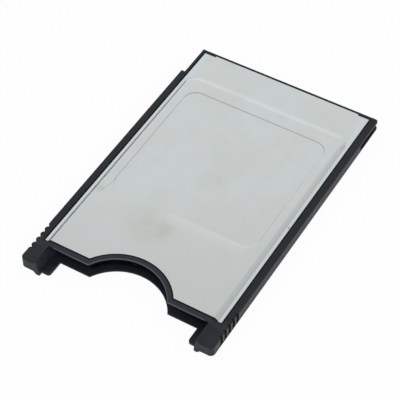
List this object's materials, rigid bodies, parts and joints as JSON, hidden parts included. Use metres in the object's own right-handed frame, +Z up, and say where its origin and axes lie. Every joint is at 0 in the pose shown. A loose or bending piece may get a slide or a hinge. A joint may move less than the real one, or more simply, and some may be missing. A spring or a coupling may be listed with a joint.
{
  "type": "memory card adapter",
  "caption": "Passive adapter that takes a small memory card between its ears at one end and plugs into a laptop's PC card slot with the socket at its other end.",
  "frame": {"origin": "under the middle of the adapter, on the surface it rests on", "axes": "+X across the width, +Y along the length towards the 68-contact socket, +Z up through the labelled side"},
  "size_m": [0.054, 0.0856, 0.005],
  "materials": {
    "frame_plastic": "fine matt moulding",
    "cover_steel": "satin",
    "board_laminate": "solder mask",
    "header_plastic": "matt moulding",
    "socket_plastic": "matt moulding",
    "gold_contacts": "gold plated",
    "tinned_metal": "tinned",
    "capacitor_ceramic": "ceramic",
    "resistor_ceramic": "ceramic",
    "insulating_film": "clear amber"
  },
  "bodies": {
    "root": {"frame": "frame_plastic", "top_cover": "cover_steel", "bottom_cover": "cover_steel", "circuit_board": "board_laminate", "header_body": "header_plastic", "header_signal_pins_upper": "gold_contacts", "header_signal_pins_lower": "gold_contacts", "header_power_pins": "gold_contacts", "header_detect_pins": "gold_contacts", "header_solder_tab_left": "tinned_metal", "header_solder_tab_right": "tinned_metal", "socket_body": "socket_plastic", "socket_contacts_upper": "gold_contacts", "socket_contacts_lower": "gold_contacts", "socket_solder_tab_left": "tinned_metal", "socket_solder_tab_right": "tinned_metal", "supply_capacitor_left": "capacitor_ceramic", "supply_capacitor_right": "capacitor_ceramic", "pull_up_resistor": "resistor_ceramic", "upper_insulating_film": "insulating_film", "lower_insulating_film": "insulating_film"}
  },
  "joints": []
}
